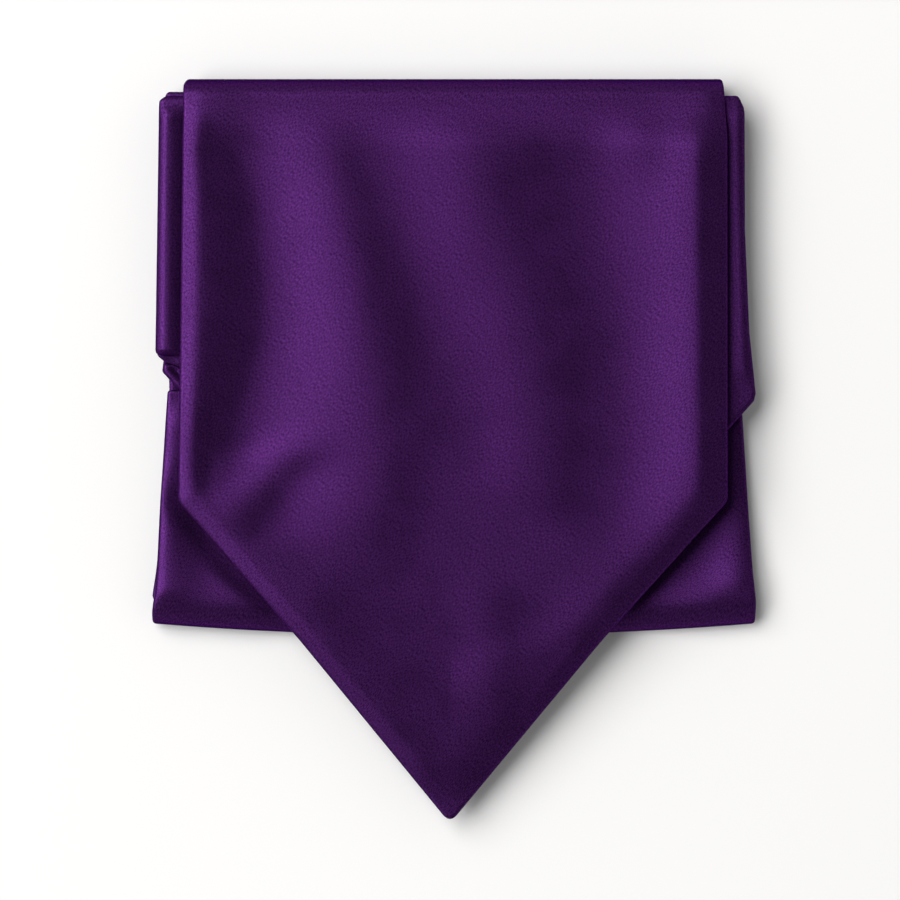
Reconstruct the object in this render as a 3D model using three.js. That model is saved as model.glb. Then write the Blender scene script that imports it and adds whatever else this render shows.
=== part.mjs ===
// A silk satin cravat, folded for a drawer: the wide pointed front blade lies on top, turns over at the
// top fold and runs back underneath, turns up again at the lower edge, and gathers into the pleats of the
// neckband. The second pointed blade lies doubled between the two.
// Millimetres. The cravat lies on the XY plane, +Z is up, +Y runs from the point to the top fold, and the
// origin is on the table under the middle of the whole outline.
//
// Each blade is a flat tube of silk pressed over a soft interlining. It is cut out as a flat outline, with
// x across the blade and v along it, and that outline is then laid on its folded path.
import * as THREE from "three";

// The cloth
const PLY = 1.6; // one blade pressed flat: silk, interlining, silk
const GAP = 0.3; // between layers that lie on each other
const HALF = PLY / 2;
const EDGE_ROUND = 1.2; // from an edge inwards, until a ply has its full thickness
const END_CUT = 0.12; // a ply's blunt end is closed this far before its outline

// Heights above the table, from the lowest layer up; MID is the middle of a ply
const BACK_MID = HALF;
const CORE_BOTTOM = PLY + GAP;
const CORE_LOW_TOP = CORE_BOTTOM + 1.2; // one pressed layer of neckband inside the lower fold
const LOWER_FOLD_MID = CORE_LOW_TOP + GAP + HALF;
const CORE_HIGH_TOP = LOWER_FOLD_MID + HALF + 0.7; // three layers of neckband under the second blade
const UNDER_BLADE_MID = CORE_HIGH_TOP + GAP + HALF;
const SECOND_BLADE_MID = UNDER_BLADE_MID + PLY + GAP;
const FRONT_MID = SECOND_BLADE_MID + PLY + GAP;

// Where the points, folds and seam are, from the front point (-Y) to the top fold (+Y)
const POINT_Y = -101.5;
const SECOND_POINT_Y = -77;
const LOWER_FOLD_Y = -51.4; // in the middle; this fold curves up by its bow at both ends
const LOWER_FOLD_BOW = 3.4;
const SEAM_Y = -30; // where the front blade is joined to the neckband, on the underside
const LOWER_FOLD_END_Y = 16.3;
const TOP_FOLD_Y = 101.5;
const SECOND_TOP_Y = 96.8;

// Past the lower fold the two lined points reach out over the table and sink a little
const HANG_FROM_Y = -40;
const HANG_TO_Y = -110;
const HANG = 3;

// Turns of the cloth, measured to the middle of the ply
const TOP_TURN_RADIUS = (FRONT_MID - BACK_MID) / 2;
const TOP_TURN_Y = TOP_FOLD_Y - TOP_TURN_RADIUS - HALF;
const SECOND_TURN_RADIUS = (SECOND_BLADE_MID - UNDER_BLADE_MID) / 2;
const SECOND_TURN_Y = SECOND_TOP_Y - SECOND_TURN_RADIUS - HALF;
const LOWER_TURN_HEIGHT = (LOWER_FOLD_MID - BACK_MID) / 2;
const LOWER_TURN_DEPTH = 5; // the lower turn is pressed into a long half ellipse
const LOWER_TURN_Y = LOWER_FOLD_Y + LOWER_TURN_DEPTH + HALF;

const SATIN = { color: 0x4b1f66, roughness: 0.42, metalness: 0 };

const cravat = new THREE.Group();
cravat.name = "cravat";

// 0 where t is at or before a, 1 where it is past b, and a smooth step between; a may be above b.
function ease(t, a, b) {
  const share = THREE.MathUtils.clamp((t - a) / (b - a), 0, 1);
  return share * share * (3 - 2 * share);
}

// How far the blades have sunk at y, where they reach out past the lower fold.
const sag = (y) => HANG * ease(y, HANG_FROM_Y, HANG_TO_Y);

// The flat cut

// A closed outline through corners { x, v, r }, each rounded off with about its radius r. Corners run
// anticlockwise, with x to the right and v upwards.
function cut(corners) {
  const at = corners.map((c) => new THREE.Vector2(c.x, c.v));
  const points = [];
  corners.forEach(({ r }, i) => {
    const here = at[i];
    const before = at[(i + at.length - 1) % at.length].clone().sub(here);
    const after = at[(i + 1) % at.length].clone().sub(here);
    const halfAngle = before.angleTo(after) / 2;
    const reach = Math.min(r / Math.tan(halfAngle), before.length() / 2.1, after.length() / 2.1);
    const from = here.clone().addScaledVector(before.normalize(), reach);
    const to = here.clone().addScaledVector(after.normalize(), reach);
    points.push(...new THREE.QuadraticBezierCurve(from, here, to).getPoints(6));
  });
  return points;
}

// Where a line across the cloth at v meets the outline: [left, right].
function across(outline, v) {
  const xs = [];
  outline.forEach((a, i) => {
    const b = outline[(i + 1) % outline.length];
    if (a.y > v !== b.y > v) xs.push(a.x + ((b.x - a.x) * (v - a.y)) / (b.y - a.y));
  });
  return [Math.min(...xs), Math.max(...xs)];
}

// The distance from a point of the flat cut to its outline.
function toEdge(outline, x, v) {
  const p = new THREE.Vector2(x, v);
  const along = new THREE.Vector2();
  const from = new THREE.Vector2();
  let nearest = Infinity;
  outline.forEach((a, i) => {
    along.subVectors(outline[(i + 1) % outline.length], a);
    from.subVectors(p, a);
    const t = THREE.MathUtils.clamp(from.dot(along) / Math.max(along.lengthSq(), 1e-9), 0, 1);
    nearest = Math.min(nearest, from.addScaledVector(along, -t).length());
  });
  return nearest;
}

// Half a ply's thickness at a distance d from its edge: a quarter ellipse, then level.
const rounded = (d, half) => half * Math.sqrt(1 - Math.pow(1 - Math.min(d / EDGE_ROUND, 1), 2));

// Soft ridges

// The height that a table of ridges adds at (x, y); where rise is below zero, the row is a hollow. A ridge
// is a smooth line through its points, which climb in y. It falls off on each side as a bell curve, steepest
// at that side's spread from the line, and fades out over the distance fade at both ends.
function ridged(table, x, y) {
  return table.reduce((height, ridge) => {
    ridge.line ??= new THREE.CubicInterpolant(
      ridge.points.map((p) => p[1]),
      ridge.points.map((p) => p[0]),
      1,
    );
    const low = ridge.points[0][1];
    const high = ridge.points.at(-1)[1];
    const inside = THREE.MathUtils.clamp(y, low, high);
    const [lineX] = ridge.line.evaluate(inside);
    const [nextX] = Array.from(ridge.line.evaluate(Math.min(inside + 0.5, high)));
    const [lastX] = Array.from(ridge.line.evaluate(Math.max(inside - 0.5, low)));
    const lean = (nextX - lastX) / (Math.min(inside + 0.5, high) - Math.max(inside - 0.5, low));
    const off = (x - lineX) / Math.hypot(1, lean);
    const spread = off < 0 ? ridge.left : ridge.right;
    const shown = ease(y, low, low + ridge.fade) * ease(y, high, high - ridge.fade);
    return height + ridge.rise * shown * Math.exp(-0.5 * (off / spread) ** 2);
  }, 0);
}

// Building a ply

const RIM = [0, 0.15, 0.6, 1.3, 3.4]; // columns of points close to an edge, where the ply rounds off

// Places across the cloth from left to right: the rims' own, and count even steps between them.
function columns(left, right, count) {
  const shrink = Math.min(1, (right - left) / (3 * RIM.at(-1)));
  const rim = RIM.map((r) => r * shrink);
  const inner = Array.from({ length: count - 1 }, (_, i) =>
    THREE.MathUtils.lerp(left + rim.at(-1), right - rim.at(-1), (i + 1) / count),
  );
  return [...rim.map((r) => left + r), ...inner, ...rim.toReversed().map((r) => right - r)];
}

// Places along the cloth: each stretch { to, steps } is divided evenly.
function places(start, stretches) {
  const list = [start];
  for (const { to, steps } of stretches) {
    const from = list.at(-1);
    for (let i = 1; i <= steps; i += 1) list.push(THREE.MathUtils.lerp(from, to, i / steps));
  }
  return list;
}

// A closed surface through rings with the same number of points each, with a fan over each end. The rings
// run clockwise when seen from the first one towards the last.
function loft(rings) {
  const size = rings[0].length;
  const points = rings.flat();
  const index = [];
  for (let i = 0; i + 1 < rings.length; i += 1) {
    for (let j = 0; j < size; j += 1) {
      const a = i * size + j;
      const b = i * size + ((j + 1) % size);
      index.push(a, b, a + size, b, b + size, a + size);
    }
  }
  const fan = (first, inwards) => {
    const hub = points.length;
    const ring = points.slice(first, first + size);
    points.push(ring.reduce((sum, p) => sum.add(p), new THREE.Vector3()).divideScalar(size));
    for (let j = 0; j < size; j += 1) {
      const a = first + j;
      const b = first + ((j + 1) % size);
      index.push(hub, inwards ? b : a, inwards ? a : b);
    }
  };
  fan(0, true);
  fan((rings.length - 1) * size, false);
  const geometry = new THREE.BufferGeometry().setFromPoints(points);
  geometry.setIndex(index);
  geometry.computeVertexNormals();
  return geometry;
}

function addPiece(name, geometry) {
  const mesh = new THREE.Mesh(geometry, new THREE.MeshStandardMaterial(SATIN));
  mesh.name = name;
  cravat.add(mesh);
}

// A ply made from its flat cut: a ring of points at each place along it, over its face and back under it.
// lay(x, v, h) gives the point that lies h above the middle of the ply at (x, v).
function addPly(name, { outline, along, face, back, half = HALF, lay }) {
  const rings = along.map((v) => {
    const [left, right] = across(outline, v);
    const over = columns(left, right, face).map((x) => lay(x, v, rounded(toEdge(outline, x, v), half)));
    const under = columns(left, right, back).slice(1, -1).reverse();
    return [...over, ...under.map((x) => lay(x, v, -rounded(toEdge(outline, x, v), half)))];
  });
  addPiece(name, loft(rings));
}

// Front blade: the pointed blade on top, its turn at the top fold, and its run back along the table

const FRONT_RISE = TOP_TURN_Y - POINT_Y; // along the cloth, from the point to the turn
const FRONT_TURN = Math.PI * TOP_TURN_RADIUS;
const FRONT_LENGTH = FRONT_RISE + FRONT_TURN + TOP_TURN_Y - SEAM_Y - GAP / 2;
const FRONT_TOP_V = FRONT_RISE + FRONT_TURN / 2;
const frontV = (y) => y - POINT_Y;

const frontCut = cut([
  { x: -1.1, v: -1.3, r: 2.6 },
  { x: 40.5, v: frontV(-52.3), r: 60 },
  { x: 74.8, v: frontV(-14.3), r: 3 },
  { x: 74.7, v: frontV(86), r: 30 },
  { x: 73.6, v: FRONT_TOP_V, r: 4 },
  { x: 74.2, v: FRONT_RISE + FRONT_TURN + 2, r: 8 },
  { x: 78.4, v: FRONT_LENGTH - 45, r: 30 },
  { x: 81.3, v: FRONT_LENGTH, r: 0.8 },
  { x: -81.5, v: FRONT_LENGTH, r: 0.8 },
  { x: -77.2, v: FRONT_LENGTH - 50, r: 30 },
  { x: -74.2, v: FRONT_RISE + FRONT_TURN + 2, r: 8 },
  { x: -73.6, v: FRONT_TOP_V, r: 4 },
  { x: -74.4, v: frontV(80), r: 30 },
  { x: -75.4, v: frontV(-14.3), r: 3 },
  { x: -42.2, v: frontV(-52.3), r: 60 },
]);

// The drapes of the front blade lean to the right as they come down from the top fold. The left one bends
// back to the left diagonal, and an arm leaves it for the left shoulder.
const FRONT_RIDGES = [
  {
    name: "hollow inside the left edge",
    points: [[-69, -16], [-61.5, 0], [-54.5, 19], [-51.5, 32], [-51.5, 54], [-53.6, 71], [-58, 94]],
    rise: -2,
    left: 8,
    right: 13,
    fade: 16,
  },
  {
    name: "left drape",
    points: [[-38, -56], [-31, -38], [-24, -20], [-20.5, 0], [-23, 18], [-28.5, 49], [-32.6, 68], [-37, 98]],
    rise: 1.1,
    left: 12,
    right: 9,
    fade: 20,
  },
  {
    name: "arm of the left drape",
    points: [[-61, -24], [-53, -8.5], [-45.5, 0], [-38, 8], [-31, 20]],
    rise: 0.5,
    left: 4.8,
    right: 5,
    fade: 14,
  },
  {
    name: "middle hollow",
    points: [[14, -14], [8, 8], [-1.6, 24], [-7, 41], [-13, 57], [-20, 76], [-27, 98]],
    rise: -0.9,
    left: 8,
    right: 12,
    fade: 22,
  },
  {
    name: "middle drape",
    points: [[46, -58], [34, -32], [24, -12], [21, 8], [23, 20], [17, 40], [9, 58], [6, 76], [3, 98]],
    rise: 0.9,
    left: 11,
    right: 11,
    fade: 20,
  },
  {
    name: "right hollow",
    points: [[36, -34], [46, 0], [44, 16], [44.5, 32], [39, 57], [37, 74], [38, 98]],
    rise: -1.1,
    left: 13,
    right: 12,
    fade: 24,
  },
  {
    name: "high right edge",
    points: [[65, -30], [67.5, 10], [67.5, 60], [68, 98]],
    rise: 1.4,
    left: 12.5,
    right: 5,
    fade: 20,
  },
  { name: "point", points: [[10, -96], [10.4, -70], [9.9, -52], [5, -26]], rise: 0.9, left: 5.5, right: 7, fade: 24 },
];

// The swell just inside the front blade's edge. Its inset grows by a millimetre over 68 mm to the right.
const PADDED_RIM = { inset: 5.9, rise: 0.8, outer: 3, inner: 7 };
const PUFF = 1.9; // the front blade stands off the one below by this much, and its hollows come down to it

// The middle of the front blade above the table, where it lies on top.
function frontHeight(x, v) {
  const y = POINT_Y + v;
  const d = toEdge(frontCut, x, v);
  const off = d - PADDED_RIM.inset - x / 68;
  const rim = PADDED_RIM.rise * Math.exp(-0.5 * (off / (off < 0 ? PADDED_RIM.outer : PADDED_RIM.inner)) ** 2);
  const drape = (ridged(FRONT_RIDGES, x, y) * ease(d, 0, 7) + rim) * ease(y, POINT_Y + 4, POINT_Y + 18);
  const puff = PUFF * ease(y, POINT_Y, SEAM_Y);
  return FRONT_MID + (drape + puff) * ease(y, TOP_TURN_Y, TOP_TURN_Y - 18) - sag(y);
}

function layFront(x, v, h) {
  if (v <= FRONT_RISE) return new THREE.Vector3(x, POINT_Y + v, frontHeight(x, v) + h);
  const turned = Math.min((v - FRONT_RISE) / TOP_TURN_RADIUS, Math.PI);
  const radius = TOP_TURN_RADIUS + h;
  const runBack = Math.max(0, v - FRONT_RISE - FRONT_TURN);
  return new THREE.Vector3(
    x,
    TOP_TURN_Y + radius * Math.sin(turned) - runBack,
    BACK_MID + TOP_TURN_RADIUS + radius * Math.cos(turned),
  );
}

addPly("front_blade", {
  outline: frontCut,
  along: places(END_CUT, [
    { to: 1, steps: 2 },
    { to: 8, steps: 3 },
    { to: frontV(-18), steps: 14 },
    { to: frontV(-11), steps: 3 },
    { to: FRONT_RISE - 8, steps: 15 },
    { to: FRONT_RISE, steps: 3 },
    { to: FRONT_RISE + FRONT_TURN, steps: 8 },
    { to: FRONT_LENGTH - EDGE_ROUND, steps: 6 },
    { to: FRONT_LENGTH - END_CUT, steps: 2 },
  ]),
  face: 24,
  back: 10,
  lay: layFront,
});

// Lower fold: the cloth turned up at the lower edge, over the folded neckband

const LOWER_RUN_DOWN = SEAM_Y - GAP / 2 - LOWER_TURN_Y;
const LOWER_TURN = Math.PI * Math.sqrt((LOWER_TURN_DEPTH ** 2 + LOWER_TURN_HEIGHT ** 2) / 2);
const LOWER_LENGTH = LOWER_RUN_DOWN + LOWER_TURN + LOWER_FOLD_END_Y - LOWER_TURN_Y;
const LOWER_TURNED_V = LOWER_RUN_DOWN + LOWER_TURN;

const lowerCut = cut([
  { x: 81.3, v: 0, r: 0.8 },
  { x: 82.6, v: LOWER_RUN_DOWN, r: 6 },
  { x: 82.9, v: LOWER_TURNED_V, r: 8 },
  { x: 81, v: LOWER_LENGTH - 35, r: 30 },
  { x: 78.8, v: LOWER_LENGTH, r: 2.5 },
  { x: -78.7, v: LOWER_LENGTH, r: 1.4 },
  { x: -80.6, v: LOWER_LENGTH - 30, r: 30 },
  { x: -82, v: LOWER_TURNED_V + 3, r: 3 },
  { x: -82.9, v: LOWER_TURNED_V - 2, r: 2 },
  { x: -82.8, v: LOWER_RUN_DOWN + 3, r: 1.5 },
  { x: -82.2, v: LOWER_RUN_DOWN + 0.6, r: 0.6 },
  { x: -82.8, v: LOWER_RUN_DOWN - 1.8, r: 0.8 },
  { x: -81.7, v: 0, r: 0.8 },
]);

const LOWER_RIDGES = [
  { name: "left edge", points: [[-79.5, -42], [-78.2, -10], [-76.6, 14]], rise: 0.4, left: 1.8, right: 1.8, fade: 8 },
  { name: "right edge", points: [[79.5, -42], [78, -10], [76.6, 14]], rise: 0.35, left: 2, right: 2, fade: 8 },
];

function layLower(x, v, h) {
  const turned = THREE.MathUtils.clamp((v - LOWER_RUN_DOWN) / LOWER_TURN, 0, 1) * Math.PI;
  const down = Math.min(v, LOWER_RUN_DOWN);
  const up = Math.max(0, v - LOWER_TURNED_V);
  const y = SEAM_Y - GAP / 2 - down - LOWER_TURN_DEPTH * Math.sin(turned) + up;
  const z = BACK_MID + LOWER_TURN_HEIGHT * (1 - Math.cos(turned));
  const outwards = new THREE.Vector2(
    -LOWER_TURN_HEIGHT * Math.sin(turned),
    -LOWER_TURN_DEPTH * Math.cos(turned),
  ).normalize();
  const bow = LOWER_FOLD_BOW * (x / 82.9) ** 2 * (1 - ease(y, LOWER_TURN_Y, SEAM_Y - 2));
  const rise = up > 0 ? ridged(LOWER_RIDGES, x, y) : 0;
  return new THREE.Vector3(x, y + bow + outwards.x * h, z + outwards.y * h + rise);
}

addPly("lower_fold", {
  outline: lowerCut,
  along: places(END_CUT, [
    { to: EDGE_ROUND, steps: 2 },
    { to: LOWER_RUN_DOWN - 2, steps: 3 },
    { to: LOWER_RUN_DOWN + 3, steps: 5 },
    { to: LOWER_TURNED_V, steps: 6 },
    { to: LOWER_LENGTH - EDGE_ROUND, steps: 10 },
    { to: LOWER_LENGTH - END_CUT, steps: 2 },
  ]),
  face: 12,
  back: 8,
  lay: layLower,
});

// Second blade: doubled at its own top fold, its point down like the front one's. Its left shoulder is
// tucked in over the neckband's pleats, and its under ply narrows towards the neckband.

const SECOND_RISE = SECOND_TURN_Y - SECOND_POINT_Y;
const SECOND_TURN = Math.PI * SECOND_TURN_RADIUS;
const SECOND_TOP_V = SECOND_RISE + SECOND_TURN / 2;
const secondV = (y) => y - SECOND_POINT_Y;
const underV = (y) => SECOND_RISE + SECOND_TURN + SECOND_TURN_Y - y;
const UNDER_END_Y = -26;

const secondCut = cut([
  { x: 0.3, v: -1.3, r: 2.6 },
  { x: 82.7, v: secondV(13.8), r: 3 },
  { x: 80.9, v: secondV(32), r: 12 },
  { x: 79.7, v: secondV(60), r: 20 },
  { x: 79.6, v: SECOND_RISE - 2, r: 3 },
  { x: 78, v: SECOND_TOP_V, r: 2 },
  { x: 79, v: underV(92), r: 3 },
  { x: 79, v: underV(45), r: 8 },
  { x: 60, v: underV(20), r: 20 },
  { x: 34, v: underV(UNDER_END_Y), r: 2 },
  { x: -34, v: underV(UNDER_END_Y), r: 2 },
  { x: -60, v: underV(20), r: 20 },
  { x: -79.8, v: underV(45), r: 8 },
  { x: -79.8, v: underV(92), r: 3 },
  { x: -78.6, v: SECOND_TOP_V, r: 2 },
  { x: -80.8, v: SECOND_RISE - 3, r: 3 },
  { x: -81.8, v: secondV(25.7), r: 1.8 },
  { x: -69.5, v: secondV(25.4), r: 0.6 },
  { x: -68.5, v: secondV(-0.8), r: 3 },
]);

const SECOND_RIDGES = [
  { name: "left edge", points: [[-78.4, 26], [-78.3, 60], [-78, 93]], rise: 0.5, left: 1.4, right: 1.4, fade: 3 },
  { name: "right edge", points: [[79, 18], [78, 50], [77.5, 93]], rise: 0.4, left: 1.2, right: 1.2, fade: 3 },
];

function laySecond(x, v, h) {
  if (v <= SECOND_RISE) {
    const y = SECOND_POINT_Y + v;
    return new THREE.Vector3(x, y, SECOND_BLADE_MID + ridged(SECOND_RIDGES, x, y) - sag(y) + h);
  }
  const turned = Math.min((v - SECOND_RISE) / SECOND_TURN_RADIUS, Math.PI);
  const radius = SECOND_TURN_RADIUS + h;
  const runBack = Math.max(0, v - SECOND_RISE - SECOND_TURN);
  return new THREE.Vector3(
    x,
    SECOND_TURN_Y + radius * Math.sin(turned) - runBack,
    UNDER_BLADE_MID + SECOND_TURN_RADIUS + radius * Math.cos(turned),
  );
}

addPly("second_blade", {
  outline: secondCut,
  along: places(END_CUT, [
    { to: 1.2, steps: 2 },
    { to: 8, steps: 2 },
    { to: secondV(-12), steps: 5 },
    { to: secondV(25.2), steps: 6 },
    { to: secondV(27.5), steps: 4 },
    { to: SECOND_RISE - 4, steps: 5 },
    { to: SECOND_RISE, steps: 2 },
    { to: SECOND_RISE + SECOND_TURN, steps: 6 },
    { to: underV(91), steps: 2 },
    { to: underV(UNDER_END_Y) - EDGE_ROUND, steps: 7 },
    { to: underV(UNDER_END_Y) - END_CUT, steps: 2 },
  ]),
  face: 12,
  back: 8,
  lay: laySecond,
});

// Neckband pleats: the cloth gathers from its full width into the narrow neckband, and three pleats show
// at the left, between the second blade and the lower fold. The middle one slants over the lower fold.

const PLEATS = [
  {
    name: "neckband_pleat_upper",
    mid: SECOND_BLADE_MID - HALF - GAP - 0.5,
    half: 0.5,
    corners: [
      { x: -69.5, v: 20.5, r: 0.6 },
      { x: -69.5, v: 31, r: 0.6 },
      { x: -80.9, v: 31, r: 1 },
      { x: -81.4, v: 25.6, r: 1.4 },
      { x: -79.4, v: 23.9, r: 1 },
    ],
    ridges: [],
  },
  {
    name: "neckband_pleat_middle",
    mid: LOWER_FOLD_MID + HALF + GAP + 0.5,
    half: 0.5,
    corners: [
      { x: -66, v: 7, r: 0.6 },
      { x: -66, v: 26, r: 0.6 },
      { x: -79.5, v: 26, r: 1 },
      { x: -80.1, v: 21.2, r: 1.2 },
      { x: -73.8, v: 14.4, r: 4 },
    ],
    ridges: [
      { name: "pleat", points: [[-72, 11], [-76.5, 16.5], [-79, 21.5]], rise: 0.7, left: 1, right: 1.1, fade: 2 },
    ],
  },
  {
    name: "neckband_pleat_lower",
    mid: CORE_BOTTOM + 0.6,
    half: 0.6,
    corners: [
      { x: -66, v: 12, r: 0.6 },
      { x: -66, v: 24, r: 0.6 },
      { x: -78.4, v: 24, r: 1 },
      { x: -78.3, v: 12, r: 1 },
    ],
    ridges: [],
  },
];

for (const { name, mid, half, corners, ridges } of PLEATS) {
  const outline = cut(corners);
  const low = Math.min(...outline.map((p) => p.y));
  const high = Math.max(...outline.map((p) => p.y));
  addPly(name, {
    outline,
    along: places(low + END_CUT, [
      { to: low + EDGE_ROUND, steps: 2 },
      { to: high - EDGE_ROUND, steps: 9 },
      { to: high - END_CUT, steps: 2 },
    ]),
    face: 7,
    back: 4,
    half,
    lay: (x, y, h) => new THREE.Vector3(x, y, mid + h + ridged(ridges, x, y)),
  });
}

// Folded neckband: the layers inside, pressed into one, with a rounded edge for each layer

const CORE_LAYERS = [
  { top: CORE_LOW_TOP, fromY: -43, leftTopY: 96.2 },
  { top: (CORE_LOW_TOP + CORE_HIGH_TOP) / 2, fromY: 18.5, leftTopY: 97.9 },
  { top: CORE_HIGH_TOP, fromY: 18.5, leftTopY: 97.6 },
];
const LAYER_ROUND = 0.5;

// One layer's outline, drawn in by inset: full width above the pleats, and clear of them below.
function coreRing({ fromY, leftTopY }, inset, z) {
  const left = -79.3 + inset;
  const tucked = -65 + inset;
  const right = 77 - inset;
  return cut([
    { x: right, v: fromY + inset, r: 4 },
    { x: right, v: 96.1 - inset, r: 3 },
    { x: left, v: leftTopY - inset, r: 3 },
    { x: left, v: 31 + inset, r: 2 },
    { x: tucked, v: 31 + inset, r: 2 },
    { x: tucked, v: fromY + inset, r: 4 },
  ]).map((p) => new THREE.Vector3(p.x, p.y, z));
}

const coreRings = CORE_LAYERS.flatMap((layer, i) => {
  const bottom = i ? CORE_LAYERS[i - 1].top : CORE_BOTTOM;
  return [
    coreRing(layer, LAYER_ROUND, bottom),
    coreRing(layer, 0, THREE.MathUtils.lerp(bottom, layer.top, 0.35)),
    coreRing(layer, 0, THREE.MathUtils.lerp(bottom, layer.top, 0.65)),
    coreRing(layer, LAYER_ROUND, layer.top),
  ];
});
addPiece("folded_neckband", loft(coreRings));

export default cravat;
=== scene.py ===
import math

import bpy
import numpy as np
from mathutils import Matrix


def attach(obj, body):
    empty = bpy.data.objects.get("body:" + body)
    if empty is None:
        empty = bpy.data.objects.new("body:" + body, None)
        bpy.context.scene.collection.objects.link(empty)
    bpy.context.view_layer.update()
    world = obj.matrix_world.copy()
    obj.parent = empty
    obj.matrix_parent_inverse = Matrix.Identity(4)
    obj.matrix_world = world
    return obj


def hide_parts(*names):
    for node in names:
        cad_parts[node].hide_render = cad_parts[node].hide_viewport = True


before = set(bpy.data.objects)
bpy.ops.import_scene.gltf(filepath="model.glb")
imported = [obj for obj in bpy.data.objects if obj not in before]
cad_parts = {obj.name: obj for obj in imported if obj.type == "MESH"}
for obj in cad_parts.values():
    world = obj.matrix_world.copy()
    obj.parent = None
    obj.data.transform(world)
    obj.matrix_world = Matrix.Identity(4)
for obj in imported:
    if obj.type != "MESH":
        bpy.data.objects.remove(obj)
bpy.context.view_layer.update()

# Front blade
# The wide pointed blade on top: silk satin over a soft interlining, cut as one flat outline and pressed.
# It turns over in a soft roll at the top fold and runs back along the table, where it joins the neckband.

MM = 0.001
PLY = 1.6  # all sizes are in millimetres until a mesh is made: one blade pressed flat
GAP = 0.3  # between layers that lie on each other
HALF = PLY / 2
EDGE_ROUND = 0.9  # from an edge inwards, until a ply has its full thickness
END_CUT = 0.05  # a ply's blunt end is closed this far before its outline

FRONT_MID = 10.6  # the middle of the front blade above the table, where it lies flat
POINT_Y = -101.5
SEAM_Y = -30
TOP_FOLD_Y = 101.5
TOP_TURN_RADIUS = (FRONT_MID - HALF) / 2
TOP_TURN_Y = TOP_FOLD_Y - TOP_TURN_RADIUS - HALF
FRONT_RISE = TOP_TURN_Y - POINT_Y
FRONT_TURN = math.pi * TOP_TURN_RADIUS
FRONT_LENGTH = FRONT_RISE + FRONT_TURN + TOP_TURN_Y - SEAM_Y - GAP / 2
FRONT_TOP_V = FRONT_RISE + FRONT_TURN / 2
HANG_FROM_Y, HANG_TO_Y, HANG = -40, -110, 3  # past the lower fold the points sink by this much


def ease(t, a, b):
    """0 where t is at or before a, 1 where it is past b, and 3s^2 - 2s^3 of the share s between them."""
    s = np.clip((t - a) / (b - a), 0, 1)
    return s * s * (3 - 2 * s)


def sag(y):
    """How far the lined blades have sunk at y, where they reach out past the lower fold."""
    return HANG * ease(y, HANG_FROM_Y, HANG_TO_Y)


def outline_of(corners):
    """A closed outline: each corner (x, v, r) becomes a quadratic curve from r / tan(half its angle) before
    it to as far after it, so that it is rounded off with about its radius r."""
    at = np.array([(x, v) for x, v, r in corners], float)
    t = np.linspace(0, 1, 9)[:, None]
    parts = []
    for here, last, following, (_, _, r) in zip(at, np.roll(at, 1, 0), np.roll(at, -1, 0), corners):
        back, on = last - here, following - here
        long_back, long_on = np.linalg.norm(back), np.linalg.norm(on)
        half_angle = math.acos(np.clip(back @ on / (long_back * long_on), -1, 1)) / 2
        reach = min(r / math.tan(half_angle), long_back / 2.1, long_on / 2.1)
        a, b = here + back / long_back * reach, here + on / long_on * reach
        parts.append((1 - t) ** 2 * a + 2 * t * (1 - t) * here + t**2 * b)
    return np.concatenate(parts)


def across(outline, v):
    """The leftmost and rightmost x at which the outline crosses each v."""
    a, b = outline, np.roll(outline, -1, 0)
    v = np.asarray(v)[:, None]
    crosses = (a[:, 1] > v) != (b[:, 1] > v)
    with np.errstate(divide="ignore", invalid="ignore"):
        x = a[:, 0] + (b[:, 0] - a[:, 0]) * (v - a[:, 1]) / (b[:, 1] - a[:, 1])
    return np.where(crosses, x, np.inf).min(1), np.where(crosses, x, -np.inf).max(1)


def edge_distance(outline, x, v):
    """The distance from each point (x, v) to the nearest side of the outline."""
    a, b = outline, np.roll(outline, -1, 0)
    nearest = np.full(x.shape, np.inf)
    for (ax, av), (bx, bv) in zip(a, b):
        length = max((bx - ax) ** 2 + (bv - av) ** 2, 1e-12)
        t = np.clip(((x - ax) * (bx - ax) + (v - av) * (bv - av)) / length, 0, 1)
        nearest = np.minimum(nearest, np.hypot(x - ax - t * (bx - ax), v - av - t * (bv - av)))
    return nearest


def ridge_line(points, y):
    """x and dx/dy of a smooth line through points that climb in y: cubic Hermite pieces, whose slope at a
    point is that between its neighbours."""
    px, py = np.array(points, float).T
    slope = np.gradient(px, py)
    k = np.clip(np.searchsorted(py, y) - 1, 0, len(py) - 2)
    step = py[k + 1] - py[k]
    t = np.clip((y - py[k]) / step, 0, 1)
    x = (
        (2 * t**3 - 3 * t**2 + 1) * px[k]
        + (t**3 - 2 * t**2 + t) * step * slope[k]
        + (3 * t**2 - 2 * t**3) * px[k + 1]
        + (t**3 - t**2) * step * slope[k + 1]
    )
    lean = (
        6 * (t**2 - t) / step * (px[k] - px[k + 1])
        + (3 * t**2 - 4 * t + 1) * slope[k]
        + (3 * t**2 - 2 * t) * slope[k + 1]
    )
    return x, lean


def ridged(table, x, y):
    """The height that a table of (points, rise, left spread, right spread, fade) adds: across each line it
    is rise times exp(-off^2 / 2 spread^2), with a spread for each side, eased out over fade at both ends."""
    height = np.zeros(np.broadcast(x, y).shape)
    for points, rise, left, right, fade in table:
        line, lean = ridge_line(points, y)
        off = (x - line) / np.hypot(1, lean)
        spread = np.where(off < 0, left, right)
        low, high = points[0][1], points[-1][1]
        shown = ease(y, low, low + fade) * ease(y, high, high - fade)
        height += rise * shown * np.exp(-0.5 * (off / spread) ** 2)
    return height


def spaced(start, *stretches):
    """Places along the cloth: each stretch (to, step) is divided evenly into steps of about that length."""
    parts = [np.array([start])]
    for to, step in stretches:
        count = max(1, round((to - start) / step))
        parts.append(np.linspace(start, to, count + 1)[1:])
        start = to
    return np.concatenate(parts)


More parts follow.
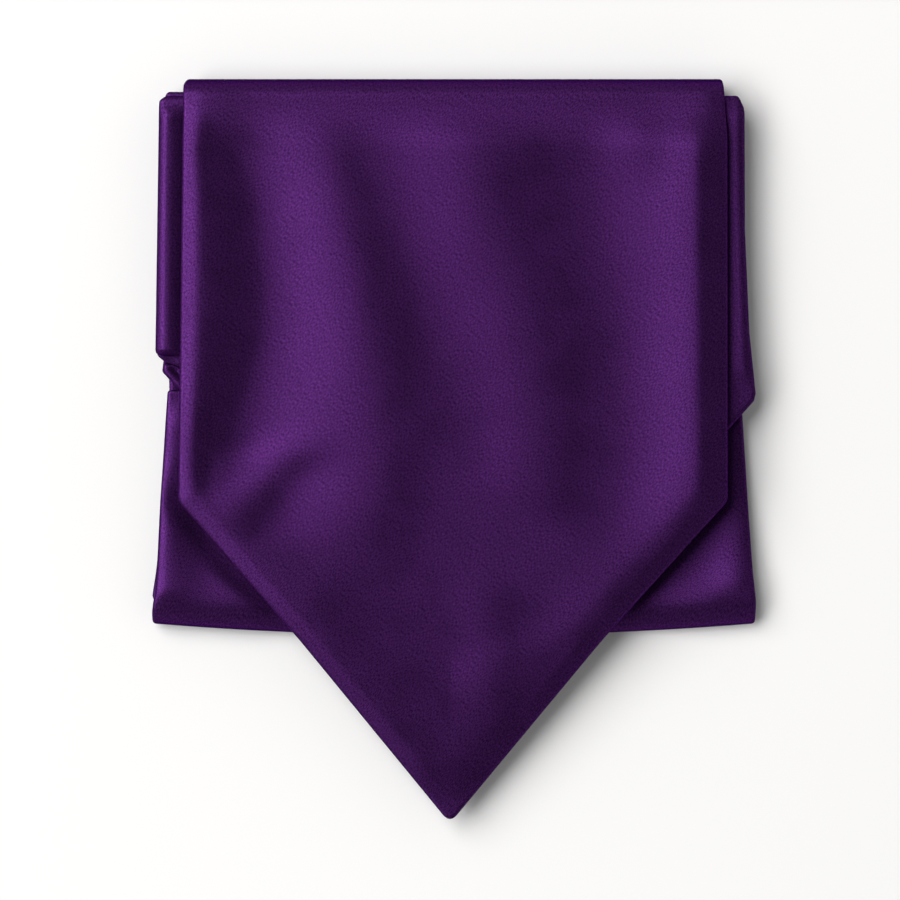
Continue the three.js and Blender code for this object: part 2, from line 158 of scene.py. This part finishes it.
def grid_across(left, right, step):
    """x from left to right on each row: close together at both edges, where the ply rounds off, and then
    about step apart. Every row has the same number of places, so narrow rows draw them in."""
    rim = np.array([0, 0.04, 0.14, 0.3, 0.52, 0.82, 1.2, 1.8, 2.6])
    widest = (right - left).max()
    inner = np.linspace(0, 1, max(4, round(widest / step)))[1:-1]
    width = (right - left)[:, None]
    rims = rim * np.minimum(1, width / (4 * rim[-1]))
    last = rims[:, -1:]
    middle = left[:, None] + last + (width - 2 * last) * inner
    return np.concatenate([left[:, None] + rims, middle, (right[:, None] - rims)[:, ::-1]], 1)


def closed_tube(name, rings, flat):
    """A mesh through rings of points, (rows, points round, 3) in millimetres, closed at both ends by a fan.
    The UV map cloth holds flat, each point's place on the flat cut, in metres."""
    rows, around = rings.shape[:2]
    points = np.concatenate([rings.reshape(-1, 3), rings[[0, -1]].mean(1)]) * MM
    places = np.concatenate([flat.reshape(-1, 2), flat[[0, -1]].mean(1)]) * MM
    ring = np.arange(rows * around).reshape(rows, around)
    a, b = ring[:-1], np.roll(ring, -1, 1)[:-1]
    c, d = np.roll(ring, -1, 1)[1:], ring[1:]
    quads = np.stack([a, b, c, d], -1).reshape(-1, 4)
    first, last = ring[0], ring[-1]
    hub = rows * around
    fans = np.concatenate(
        [
            np.stack([np.full(around, hub), np.roll(first, -1), first], -1),
            np.stack([np.full(around, hub + 1), last, np.roll(last, -1)], -1),
        ]
    )
    corners = np.concatenate([quads.ravel(), fans.ravel()])
    starts = np.concatenate([np.arange(len(quads)) * 4, quads.size + np.arange(len(fans)) * 3])
    mesh = bpy.data.meshes.new(name)
    mesh.vertices.add(len(points))
    mesh.vertices.foreach_set("co", points.ravel())
    mesh.loops.add(len(corners))
    mesh.loops.foreach_set("vertex_index", corners)
    mesh.polygons.add(len(starts))
    mesh.polygons.foreach_set("loop_start", starts)
    mesh.update(calc_edges=True)
    uv = mesh.uv_layers.new(name="cloth")
    uv.data.foreach_set("uv", places[corners].ravel())
    mesh.shade_smooth()
    mesh.validate()
    piece = bpy.data.objects.new(name, mesh)
    bpy.context.scene.collection.objects.link(piece)
    return piece


def lay_ply(name, outline, rows, lay, face=1.2, back=3.0, half=HALF):
    """One ply made from its flat cut. On each row the ring goes over the face and back under it; half its
    thickness at a distance d from the edge is half * sqrt(1 - (1 - d / EDGE_ROUND)^2), and lay(x, v, h)
    gives the place of a point that lies h above the middle of the ply."""
    left, right = across(outline, rows)
    over, under = grid_across(left, right, face), grid_across(left, right, back)[:, -2:0:-1]
    x = np.concatenate([over, under], 1)
    v = np.broadcast_to(rows[:, None], x.shape)
    side = np.concatenate([np.ones(over.shape), -np.ones(under.shape)], 1)
    d = np.minimum(edge_distance(outline, x, v) / EDGE_ROUND, 1)
    return closed_tube(name, lay(x, v, side * half * np.sqrt(1 - (1 - d) ** 2)), np.stack([x, v], -1))


def front_v(y):
    """The place along the front blade's cut that lies at y."""
    return y - POINT_Y


FRONT_CUT = outline_of(
    [
        (-1.1, -1.2, 2.6),
        (40.5, front_v(-52.3), 60),
        (74.8, front_v(-14.3), 3),
        (74.7, front_v(86), 30),
        (73.6, FRONT_TOP_V, 4),
        (74.2, FRONT_RISE + FRONT_TURN + 2, 8),
        (78.4, FRONT_LENGTH - 45, 30),
        (81.3, FRONT_LENGTH, 0.8),
        (-81.5, FRONT_LENGTH, 0.8),
        (-77.2, FRONT_LENGTH - 50, 30),
        (-74.2, FRONT_RISE + FRONT_TURN + 2, 8),
        (-73.3, FRONT_TOP_V, 1.5),
        (-74.1, FRONT_RISE + 4, 1.5),
        (-74.4, front_v(70), 30),
        (-75.4, front_v(-14.3), 3),
        (-42.2, front_v(-52.3), 60),
    ]
)

# The drapes, as soft hollows and ridges: (points, rise, left spread, right spread, fade)
FRONT_DRAPES = [
    # a long hollow inside the left edge, ending at the shoulder
    (
        [(-71, -22), (-61.5, 0), (-54.5, 19), (-51.5, 32), (-51.5, 54), (-54, 71), (-60, 86), (-67, 104)],
        *(-2.0, 8, 12, 24),
    ),
    # the left drape, bending down to the left diagonal
    (
        [(-38, -56), (-31, -38), (-24, -20), (-20.5, 0), (-23, 18), (-28.5, 49), (-32.6, 68), (-39, 106)],
        *(0.95, 10, 8, 44),
    ),
    # its arm to the left shoulder, and the crease below the arm
    ([(-61, -24), (-53, -8.5), (-45.5, 0), (-38, 9)], 0.5, 4.8, 5, 12),
    ([(-54, -30), (-48, -17), (-43, -8.5), (-39, 1)], -0.45, 4, 6, 10),
    # the hollow and the ridge that lean across the middle
    ([(14, -14), (8, 8), (-1.6, 24), (-7, 41), (-13, 57), (-20, 76), (-29, 106)], -0.9, 8, 12, 22),
    (
        [(46, -58), (34, -32), (24, -12), (21, 8), (23, 20), (17, 40), (9, 58), (6, 76), (2, 106)],
        *(0.9, 11, 11, 32),
    ),
    # the broad hollow before the right edge, and the pucker at its top
    ([(36, -34), (46, 0), (44, 16), (44.5, 32), (39, 57), (37, 74), (37, 106)], -1.1, 13, 12, 32),
    ([(51, 70), (49.3, 85), (48.7, 106)], 0.45, 6, 5, 14),
    # the high right edge
    ([(65, -34), (67.5, 10), (67.5, 60), (69, 106)], 1.4, 12.5, 5, 32),
    # the point
    ([(10, -96), (10.4, -70), (9.9, -52), (5, -26)], 0.6, 6, 7, 26),
]
DRAPES_FROM, DRAPES_TO = 1, 9  # from the edge, where the drapes begin and where they have their full height
BEGUN_FROM_Y, BEGUN_TO_Y = POINT_Y + 4, POINT_Y + 18  # drapes and rim begin between these, above the point

# The padded swell inside the blade's edges: how far in, how high, and its spread to either side
RIM_CENTRE, RIM_RISE, RIM_OUTER, RIM_INNER = 5.3, 1.2, 3, 7
RIGHT_CENTRE, RIGHT_RISE, RIGHT_OUTER = 5.2, 0.95, 3.3
RIGHT_FROM_X, RIGHT_TO_X = -5, 20  # the left rim becomes the right one here
RIM_FLAT, FLAT_FROM_Y, FLAT_TO_Y = 30, -92, -45  # towards the point the swell spreads inwards by this much
RIM_KEPT = 0.5  # the share of its height that the rim still has where the top fold begins

# Along the diagonals the rim bends down by this much towards the edge. The drop comes in above the point and
# goes out at the shoulders.
DROP, DROP_WIDTH = 0.4, 4.5
DROP_IN_FROM_Y, DROP_IN_TO_Y = POINT_Y + 8, POINT_Y + 45
DROP_OUT_FROM_Y, DROP_OUT_TO_Y = -26, -6

PUFF, PUFF_TO_Y = 1.9, -30  # the blade stands off the one below, so that its hollows come down to it
FLATTENS = 14  # the drapes flatten over this distance before the top fold


def lay_front(x, v, h):
    """The front blade on its path. On top its middle is at FRONT_MID, plus the drapes and the puff, less the
    drop and the sag; it then turns through half a circle, and runs back level. The padded rim, a Gaussian of
    the distance from the edge with a spread for each side, is added to h and fades out round the turn."""
    y = POINT_Y + v
    d = edge_distance(FRONT_CUT, x, v)
    to_right = ease(x, RIGHT_FROM_X, RIGHT_TO_X)
    off = d - RIM_CENTRE - (RIGHT_CENTRE - RIM_CENTRE) * to_right
    outer = RIM_OUTER + (RIGHT_OUTER - RIM_OUTER) * to_right
    rise = RIM_RISE + (RIGHT_RISE - RIM_RISE) * to_right
    inner = RIM_INNER + RIM_FLAT * (1 - ease(y, FLAT_FROM_Y, FLAT_TO_Y))
    rim = rise * np.exp(-0.5 * (off / np.where(off < 0, outer, inner)) ** 2)
    begun = ease(y, BEGUN_FROM_Y, BEGUN_TO_Y)
    drape = ridged(FRONT_DRAPES, x, y) * ease(d, DRAPES_FROM, DRAPES_TO) * begun
    drape = drape + PUFF * ease(y, POINT_Y, PUFF_TO_Y)
    drop = DROP * (1 - ease(d, 0, DROP_WIDTH)) * ease(y, DROP_IN_FROM_Y, DROP_IN_TO_Y)
    drape = drape - drop * (1 - ease(y, DROP_OUT_FROM_Y, DROP_OUT_TO_Y))
    turning = ease(y, TOP_TURN_Y - FLATTENS, TOP_TURN_Y)
    top = FRONT_MID + drape * (1 - turning) - sag(y)
    turned = np.clip((v - FRONT_RISE) / TOP_TURN_RADIUS, 0, math.pi)
    run_back = np.maximum(0, v - FRONT_RISE - FRONT_TURN)
    h = h + rim * begun * (1 - ease(turned, 0, math.pi / 2)) * (1 - (1 - RIM_KEPT) * turning)
    radius = TOP_TURN_RADIUS + h
    rolled_y = TOP_TURN_Y + radius * np.sin(turned) - run_back
    rolled_z = HALF + TOP_TURN_RADIUS + radius * np.cos(turned)
    on_top = v <= FRONT_RISE
    return np.stack([x, np.where(on_top, y, rolled_y), np.where(on_top, top + h, rolled_z)], -1)


front_rows = spaced(
    END_CUT,
    (0.3, 0.12),
    (2, 0.4),
    (FRONT_RISE, 1.2),
    (FRONT_RISE + FRONT_TURN, 0.8),
    (FRONT_LENGTH - EDGE_ROUND, 3),
    (FRONT_LENGTH - 0.2, 0.3),
    (FRONT_LENGTH - END_CUT, 0.1),
)
front_blade = lay_ply("front_blade_silk", FRONT_CUT, front_rows, lay_front)


def linear(hex_code):
    """An sRGB hex colour as linear red, green, blue and alpha."""
    srgb = np.array([int(hex_code[i : i + 2], 16) for i in (1, 3, 5)]) / 255
    values = np.where(srgb <= 0.04045, srgb / 12.92, ((srgb + 0.055) / 1.055) ** 2.4)
    return (*values.tolist(), 1.0)


def add_node(tree, kind, links=(), **settings):
    """Adds a node to the tree, sets its properties and input values by name, and links (input, output)."""
    node = tree.nodes.new(kind)
    for name, value in settings.items():
        if hasattr(node, name):
            setattr(node, name, value)
        else:
            node.inputs[name.replace("_", " ")].default_value = value
    for socket, output in links:
        tree.links.new(output, node.inputs[socket])
    return node


# Silk satin, dyed purple: long warp floats of bright filament on a closed weave. To the eye it is a very dark
# cloth whose shine is broad and of the cloth's own colour, with a fine slanting grain. The real floats are
# 0.1 mm wide, too fine to show here, so they are drawn in bundles of 0.3 mm by 0.7 mm.
GRAIN_WIDTH, GRAIN_LENGTH = 0.00028, 0.0007  # metres
GRAIN_SLANT = math.radians(52)
SHADE_PATCH = 0.009  # metres: where the pressing has left the shine a little stronger or weaker

silk = bpy.data.materials.new("silk_satin_dyed")
silk.use_nodes = True
tree = silk.node_tree
tree.nodes.clear()
cloth = add_node(tree, "ShaderNodeUVMap", uv_map="cloth")
slanted = add_node(
    tree,
    "ShaderNodeMapping",
    [("Vector", cloth.outputs["UV"])],
    vector_type="TEXTURE",
    Rotation=(0, 0, GRAIN_SLANT),
    Scale=(GRAIN_LENGTH, GRAIN_WIDTH, 1),
)
grain = add_node(
    tree,
    "ShaderNodeTexNoise",
    [("Vector", slanted.outputs["Vector"])],
    noise_dimensions="2D",
    Scale=1.0,
    Detail=1.0,
    Roughness=0.5,
)
patches = add_node(
    tree,
    "ShaderNodeTexNoise",
    [("Vector", cloth.outputs["UV"])],
    noise_dimensions="2D",
    Scale=1 / SHADE_PATCH,
    Detail=3.0,
    Roughness=0.55,
)
shine = add_node(tree, "ShaderNodeValToRGB", [("Fac", grain.outputs["Fac"])])
shine.color_ramp.elements[0].position = 0.28
shine.color_ramp.elements[0].color = linear("#2c113c")
shine.color_ramp.elements[1].position = 0.72
shine.color_ramp.elements[1].color = linear("#4d2462")
dullness = add_node(
    tree,
    "ShaderNodeMapRange",
    [("Value", patches.outputs["Fac"])],
    From_Min=0.3,
    From_Max=0.7,
    To_Min=0.39,
    To_Max=0.46,
)
relief = add_node(
    tree,
    "ShaderNodeBump",
    [("Height", grain.outputs["Fac"])],
    Strength=0.2,
    Distance=0.0002,
)

# Nearly all that shows is the shine. Silk is no metal, but a high metallic value keeps its shine in the
# cloth's colour, and the edge tint keeps it so at a grazing view, where the rims would turn whitish.
shader = add_node(
    tree,
    "ShaderNodeBsdfPrincipled",
    [
        ("Base Color", shine.outputs["Color"]),
        ("Roughness", dullness.outputs["Result"]),
        ("Normal", relief.outputs["Normal"]),
    ],
    Metallic=0.88,
    Specular_Tint=(0.17, 0.05, 0.28, 1),
    IOR=1.5,
    Specular_IOR_Level=0.0,
)
add_node(tree, "ShaderNodeOutputMaterial", [("Surface", shader.outputs["BSDF"])])
front_blade.data.materials.append(silk)
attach(front_blade, "root")
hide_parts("front_blade")

# Second blade
# The other pointed blade of the same lined satin, folded double at its own top edge between the front blade
# and the neckband. Its left shoulder is tucked in over the pleats, and its under ply narrows towards them.

SECOND_MID = FRONT_MID - PLY - GAP
UNDER_MID = SECOND_MID - PLY - GAP
SECOND_POINT_Y = -77
SECOND_TOP_Y = 96.8
SECOND_TURN_RADIUS = (SECOND_MID - UNDER_MID) / 2
SECOND_TURN_Y = SECOND_TOP_Y - SECOND_TURN_RADIUS - HALF
SECOND_RISE = SECOND_TURN_Y - SECOND_POINT_Y
SECOND_TURN = math.pi * SECOND_TURN_RADIUS
SECOND_TOP_V = SECOND_RISE + SECOND_TURN / 2
UNDER_END_Y = -26


def second_v(y):
    """The place along the second blade's cut that lies at y on its upper ply."""
    return y - SECOND_POINT_Y


def under_v(y):
    """The place along the second blade's cut that lies at y on its under ply."""
    return SECOND_RISE + SECOND_TURN + SECOND_TURN_Y - y


SECOND_CUT = outline_of(
    [
        (0.3, -1.2, 2.6),
        (82.8, second_v(13.8), 3),
        (80.9, second_v(32), 12),
        (79.7, second_v(60), 20),
        (79.6, SECOND_RISE - 2, 3),
        (78, SECOND_TOP_V, 2),
        (79, under_v(92), 3),
        (79, under_v(45), 8),
        (60, under_v(20), 20),
        (34, under_v(UNDER_END_Y), 2),
        (-34, under_v(UNDER_END_Y), 2),
        (-60, under_v(20), 20),
        (-79.8, under_v(45), 8),
        (-79.8, under_v(92), 3),
        (-79.2, SECOND_TOP_V, 1),
        (-80.8, SECOND_RISE + 0.2, 1.2),
        (-80.9, second_v(86), 20),
        (-81.8, second_v(25.7), 1.6),
        (-69.5, second_v(25.4), 0.6),
        (-68.5, second_v(-0.8), 3),
    ]
)

SECOND_EDGES = [
    ([(-79, 25.5), (-78.7, 60), (-78.3, 94)], 1.6, 1.7, 3.2, 1.8),
    ([(79.6, 18), (78.4, 50), (77.6, 94)], 0.4, 1.6, 1.0, 3),
]


def lay_second(x, v, h):
    """The second blade on its path: level under the front blade and hanging with it, then half a circle at
    its top fold, and its under ply level below it."""
    y = SECOND_POINT_Y + v
    top = SECOND_MID + ridged(SECOND_EDGES, x, y) - sag(y)
    turned = np.clip((v - SECOND_RISE) / SECOND_TURN_RADIUS, 0, math.pi)
    run_back = np.maximum(0, v - SECOND_RISE - SECOND_TURN)
    radius = SECOND_TURN_RADIUS + h
    rolled_y = SECOND_TURN_Y + radius * np.sin(turned) - run_back
    rolled_z = UNDER_MID + SECOND_TURN_RADIUS + radius * np.cos(turned)
    on_top = v <= SECOND_RISE
    return np.stack([x, np.where(on_top, y, rolled_y), np.where(on_top, top + h, rolled_z)], -1)


second_length = under_v(UNDER_END_Y)
second_rows = spaced(
    END_CUT,
    (2, 0.3),
    (second_v(25.2), 2),
    (second_v(27.5), 0.15),
    (SECOND_RISE, 1.5),
    (SECOND_RISE + SECOND_TURN, 0.25),
    (under_v(91), 0.6),
    (second_length - EDGE_ROUND, 3),
    (second_length - END_CUT, 0.3),
)
second_blade = lay_ply("second_blade_silk", SECOND_CUT, second_rows, lay_second, face=2, back=4)
second_blade.data.materials.append(silk)
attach(second_blade, "root")
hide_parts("second_blade")

# Lower fold
# The same strip of satin turned up at the lower edge in a pressed roll, over the folded neckband. It is as
# wide as the blades below, and narrows upwards to where it gathers into the pleats.

LOWER_MID = 4.2
LOWER_FOLD_Y = -51.4
LOWER_FOLD_BOW = 3.4  # the lower edge curves up by this much at both ends
BOW_TO_Y = SEAM_Y - 2
LOWER_END_Y = 16.3
LOWER_TURN_HEIGHT = (LOWER_MID - HALF) / 2
LOWER_TURN_DEPTH = 5
LOWER_TURN_Y = LOWER_FOLD_Y + LOWER_TURN_DEPTH + HALF
LOWER_RUN_DOWN = SEAM_Y - GAP / 2 - LOWER_TURN_Y
LOWER_TURN = math.pi * math.sqrt((LOWER_TURN_DEPTH**2 + LOWER_TURN_HEIGHT**2) / 2)
LOWER_TURNED_V = LOWER_RUN_DOWN + LOWER_TURN
LOWER_LENGTH = LOWER_TURNED_V + LOWER_END_Y - LOWER_TURN_Y

LOWER_HALF_WIDTH = 82.9
LOWER_CUT = outline_of(
    [
        (81.3, 0, 0.8),
        (82.6, LOWER_RUN_DOWN, 6),
        (LOWER_HALF_WIDTH, LOWER_TURNED_V, 8),
        (81, LOWER_LENGTH - 35, 30),
        (78.8, LOWER_LENGTH, 2.5),
        (-78.7, LOWER_LENGTH, 1.4),
        (-80.6, LOWER_LENGTH - 30, 30),
        (-82, LOWER_TURNED_V + 3, 3),
        (-LOWER_HALF_WIDTH, LOWER_TURNED_V - 2, 2),
        (-82.8, LOWER_RUN_DOWN + 3, 1.5),
        (-82.2, LOWER_RUN_DOWN + 0.6, 0.6),
        (-83.1, LOWER_RUN_DOWN - 1.8, 0.8),
        (-81.7, 0, 0.8),
    ]
)

LOWER_EDGES = [
    ([(-79.4, -48), (-77.6, -10), (-76, 14)], 1.0, 2.1, 5, 8),
    ([(78.5, -46), (77.4, -10), (76.2, 14)], 0.6, 5, 2.4, 10),
]
SWELL, SWELL_AT, SWELL_BELOW, SWELL_ABOVE = 1.4, 1.4, 2.8, 6.5  # the panel swells before it turns down
SWELL_FROM, SWELL_TO = math.pi / 2, math.pi / 2 + 0.5  # radians round the turn, where the swell comes in

# Clear of the front blade, which presses it down, the panel stands up by this much, eased in over a distance
FREE_LEFT, FREE_LEFT_TO = 1.4, 7
FREE_RIGHT, FREE_RIGHT_FROM, FREE_RIGHT_TO = 0.63, 4, 18
FREE_FROM_Y, FREE_TO_Y = -16, 0


def lay_lower(x, v, h):
    """The lower fold on its path: level on the table, round half an ellipse at the lower edge, and level on
    top, with its edge ridges, what it rises where it is free, and the swell, a Gaussian of the distance past
    the crest. The edge is bowed by a parabola in x that fades out up the panel."""
    turned = np.clip((v - LOWER_RUN_DOWN) / LOWER_TURN, 0, 1) * math.pi
    up = np.maximum(0, v - LOWER_TURNED_V)
    y = SEAM_Y - GAP / 2 - np.minimum(v, LOWER_RUN_DOWN) - LOWER_TURN_DEPTH * np.sin(turned) + up
    z = HALF + LOWER_TURN_HEIGHT * (1 - np.cos(turned))
    out_y, out_z = -LOWER_TURN_HEIGHT * np.sin(turned), -LOWER_TURN_DEPTH * np.cos(turned)
    long = np.hypot(out_y, out_z)
    bow = LOWER_FOLD_BOW * (x / LOWER_HALF_WIDTH) ** 2 * (1 - ease(y, LOWER_TURN_Y, BOW_TO_Y))
    panel_y = np.maximum(y, LOWER_TURN_Y)
    left, right = across(FRONT_CUT, front_v(panel_y).ravel())
    outside = (x < left.reshape(x.shape)) | (x > right.reshape(x.shape))
    clear = np.where(outside, edge_distance(FRONT_CUT, x, front_v(panel_y)), 0)
    free_left = FREE_LEFT * ease(clear, 0, FREE_LEFT_TO)
    free_right = FREE_RIGHT * ease(clear, FREE_RIGHT_FROM, FREE_RIGHT_TO)
    free = np.where(x < 0, free_left, free_right) * (1 - ease(panel_y, FREE_FROM_Y, FREE_TO_Y))
    rise = (ridged(LOWER_EDGES, x, panel_y) + free) * (1 - np.cos(turned)) / 2
    past = y - LOWER_TURN_Y - SWELL_AT
    swell = SWELL * np.exp(-0.5 * (past / np.where(past < 0, SWELL_BELOW, SWELL_ABOVE)) ** 2)
    rise = rise + swell * ease(turned, SWELL_FROM, SWELL_TO)
    return np.stack([x, y + bow + out_y / long * h, z + out_z / long * h + rise], -1)


lower_rows = spaced(
    END_CUT,
    (EDGE_ROUND, 0.25),
    (LOWER_RUN_DOWN - 3, 2),
    (LOWER_TURNED_V, 0.6),
    (LOWER_LENGTH - 2, 1.5),
    (LOWER_LENGTH - END_CUT, 0.2),
)
lower_fold = lay_ply("lower_fold_silk", LOWER_CUT, lower_rows, lay_lower, face=1.5, back=3)
lower_fold.data.materials.append(silk)
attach(lower_fold, "root")
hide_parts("lower_fold")

# Neckband pleats
# Where the cloth gathers from its full width into the narrow neckband, three pleats show at the left. They
# are pressed folds of the same satin, and the middle one slants down over the lower fold.

PLEAT_HALF = 0.5
PLEATS = [
    # name, middle, outline, drapes, what it rests on
    (
        "neckband_pleat_upper",
        SECOND_MID - HALF - GAP - PLEAT_HALF,
        [(-69.5, 20.5, 0.6), (-69.5, 31, 0.6), (-80.9, 31, 1), (-81.4, 25.6, 1.4), (-79.4, 23.9, 1)],
        [([(-79.5, 24.2), (-80.2, 25), (-80, 29)], 0.2, 0.6, 1.5, 1)],
        ["neckband_pleat_middle"],
    ),
    (
        "neckband_pleat_middle",
        LOWER_MID + HALF + GAP + PLEAT_HALF,
        [(-66, 7, 0.6), (-66, 26, 0.6), (-79.5, 26, 1), (-80.1, 21.2, 1.2), (-73.8, 14.4, 4)],
        [
            ([(-70.5, 10.5), (-73.6, 15.9), (-76.6, 18.9), (-78.6, 21.2), (-79, 24)], 0.8, 0.8, 1.3, 1.5),
            ([(-73.6, 18.6), (-74.6, 20.8), (-75.9, 22.2), (-78, 23.4)], 0.5, 0.3, 0.5, 0.8),
        ],
        ["lower_fold"],
    ),
    (
        "neckband_pleat_lower",
        PLY + GAP + 0.6,
        [(-66, 12, 0.6), (-66, 24, 0.6), (-78.4, 24, 1), (-78.3, 12, 1)],
        [([(-77.2, 12.5), (-77.4, 18), (-77.2, 23.5)], 0.15, 0.6, 1.2, 1)],
        ["front_blade"],
    ),
]

for name, middle, corners, drapes, rests in PLEATS:
    cut = outline_of(corners)
    low, high = cut[:, 1].min(), cut[:, 1].max()

    def lay_pleat(x, v, h):
        """A pleat lies level at its middle height, plus its own small ridges."""
        return np.stack([x, v, middle + h + ridged(drapes, x, v)], -1)

    rows = spaced(low + END_CUT, (low + 1, 0.12), (high - 1, 0.25), (high - END_CUT, 0.12))
    pleat = lay_ply(name + "_silk", cut, rows, lay_pleat, face=0.3, back=0.8, half=PLEAT_HALF)
    pleat.data.materials.append(silk)
    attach(pleat, "root")
    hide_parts(name)

# Folded neckband
# The narrow neckband folded to and fro inside the cravat: layers of the same satin pressed into one block.
# Only their rounded edges show, at the sides and behind the second blade's top left corner.

CORE_BOTTOM = PLY + GAP
CORE_LAYERS = [
    # top, lowest y, left top y
    (3.1, -43, 96.2),
    (4.4, 18.5, 98.2),
    (5.7, 18.5, 97.9),
]
LAYER_ROUND = 0.5
CORE_LEFT, CORE_TUCKED, CORE_RIGHT = -79.3, -65, 77  # x at the left above the pleats, beside them, and right
CORE_RIGHT_TOP_Y, ABOVE_PLEATS_Y = 96.1, 31


def layer_outline(low, top_y, inset):
    """A layer's outline, drawn in by inset on every side: full width above the pleats and clear of them
    below."""
    left, tucked, right = CORE_LEFT + inset, CORE_TUCKED + inset, CORE_RIGHT - inset
    return outline_of(
        [
            (right, low + inset, 4),
            (right, CORE_RIGHT_TOP_Y - inset, 3),
            (left, top_y - inset, 1.6),
            (left, ABOVE_PLEATS_Y + inset, 2),
            (tucked, ABOVE_PLEATS_Y + inset, 2),
            (tucked, low + inset, 4),
        ]
    )


core_rings, bottom = [], CORE_BOTTOM
for top, low, top_y in CORE_LAYERS:
    for share in np.linspace(0, 1, 9):
        inset = LAYER_ROUND * (1 - math.sqrt(1 - (2 * share - 1) ** 2))
        outline = layer_outline(low, top_y, inset)
        z = np.full(len(outline), bottom + share * (top - bottom))
        core_rings.append(np.column_stack([outline, z]))
    bottom = top
core_rings = np.array(core_rings)
core_flat = core_rings[..., :2] + core_rings[..., 2:] * (1, 0)
folded_neckband = closed_tube("folded_neckband_silk", core_rings, core_flat)
folded_neckband.data.materials.append(silk)
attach(folded_neckband, "root")
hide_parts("folded_neckband")

# The table, the light and the camera
# The cravat lies on plain matt white paper. One large round softbox lights it from the upper left and a small
# one fills from the left, in a room with white walls. The camera looks straight down from about 1.4 m.

REACH = 3.0  # metres from the middle to each side
floor_mesh = bpy.data.meshes.new("table")
floor_corners = [(-REACH, -REACH, 0), (REACH, -REACH, 0), (REACH, REACH, 0), (-REACH, REACH, 0)]
floor_mesh.from_pydata(floor_corners, [], [(0, 1, 2, 3)])
table = bpy.data.objects.new("table", floor_mesh)
bpy.context.scene.collection.objects.link(table)
paper = bpy.data.materials.new("matt_white_paper")
paper.use_nodes = True
tree = paper.node_tree
tree.nodes.clear()
shader = add_node(tree, "ShaderNodeBsdfPrincipled", Base_Color=linear("#f1f0ef"), Roughness=0.9)
add_node(tree, "ShaderNodeOutputMaterial", [("Surface", shader.outputs["BSDF"])])
table.data.materials.append(paper)

world = bpy.data.worlds.new("studio")
bpy.context.scene.world = world
world.use_nodes = True
tree = world.node_tree
tree.nodes.clear()
towards = add_node(tree, "ShaderNodeTexCoord")
parts = add_node(tree, "ShaderNodeSeparateXYZ", [("Vector", towards.outputs["Generated"])])
walls = add_node(  # the white walls are brighter than the ceiling
    tree,
    "ShaderNodeMapRange",
    [("Value", parts.outputs["Z"])],
    From_Min=0.0,
    From_Max=1.0,
    To_Min=0.82,
    To_Max=0.03,
)
sky = add_node(tree, "ShaderNodeBackground", [("Strength", walls.outputs["Result"])], Color=(1, 1, 1, 1))
add_node(tree, "ShaderNodeOutputWorld", [("Surface", sky.outputs["Background"])])


def softbox(name, place, size, power):
    """A round area light at place, in metres, turned towards the middle of the cravat."""
    data = bpy.data.lights.new(name, "AREA")
    data.shape = "DISK"
    data.size = size
    data.energy = power
    lamp = bpy.data.objects.new(name, data)
    lamp.location = place
    away = np.array(place) / np.linalg.norm(place)
    lamp.rotation_euler = (math.acos(away[2]), 0, math.atan2(away[1], away[0]) + math.pi / 2)
    bpy.context.scene.collection.objects.link(lamp)


softbox("key", (-2.17, 1.39, 3.06), 3.9, 172)
softbox("fill", (-2.16, -0.79, 2.3), 1.6, 26)

camera_data = bpy.data.cameras.new("camera")
camera = bpy.data.objects.new("camera", camera_data)
VIEW_WIDTH, VIEW_HEIGHT = 0.2463, 0.010  # metres: what the camera takes in, at this height
VIEW_MIDDLE = (-0.00109, -0.0003)
camera_data.lens = 200
camera_data.sensor_width = 36
height = VIEW_HEIGHT + VIEW_WIDTH * camera_data.lens / camera_data.sensor_width
camera.location = (*VIEW_MIDDLE, height)
camera_data.clip_end = 20
bpy.context.scene.collection.objects.link(camera)
bpy.context.scene.camera = camera
bpy.context.scene.view_settings.view_transform = "Standard"
